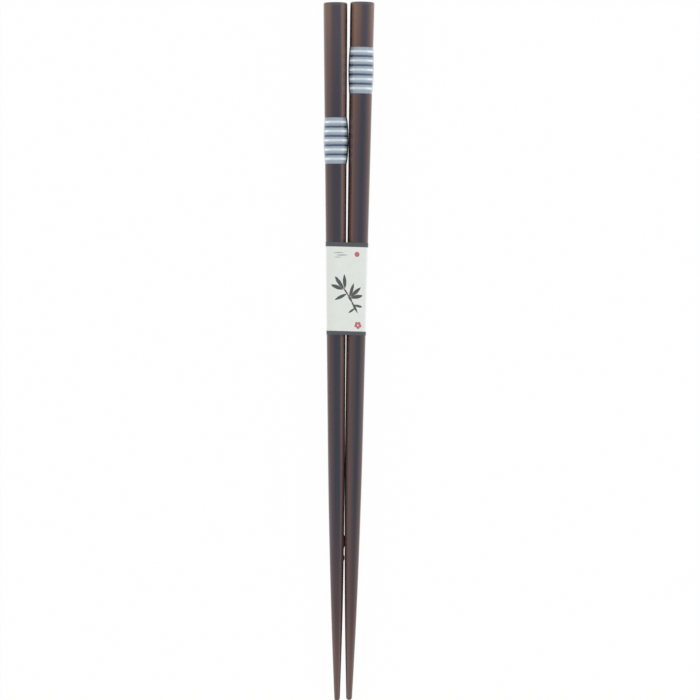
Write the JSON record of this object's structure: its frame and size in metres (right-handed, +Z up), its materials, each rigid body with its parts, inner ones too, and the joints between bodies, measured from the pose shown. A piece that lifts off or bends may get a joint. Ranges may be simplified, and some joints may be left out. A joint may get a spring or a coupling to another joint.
{
  "type": "bamboo chopsticks",
  "caption": "Pair of round tapered lacquered chopsticks with raised striped bands near the butts, lying side by side in a wrapped paper band.",
  "frame": {"origin": "on the surface that the pair lies on, below the middle of the pair's box", "axes": "+Y along the pair, from the tips towards the butts; +X across the pair, towards the stick whose band is nearer its butt; +Z up from the surface"},
  "size_m": [0.0172, 0.2353, 0.0087],
  "materials": {
    "smoked_bamboo": "smoked dark brown bamboo under clear gloss lacquer",
    "pale_lacquer": "thick glossy pale grey-blue and white lacquer",
    "indigo_lacquer": "glossy indigo lacquer",
    "white_paper": "matt uncoated off-white paper"
  },
  "bodies": {
    "root": {"chopstick_left": "smoked_bamboo", "chopstick_right": "smoked_bamboo", "lacquer_band_left": "pale_lacquer", "lacquer_band_right": "pale_lacquer", "indigo_lines_left": "indigo_lacquer", "indigo_lines_right": "indigo_lacquer", "paper_band": "white_paper"}
  },
  "joints": []
}
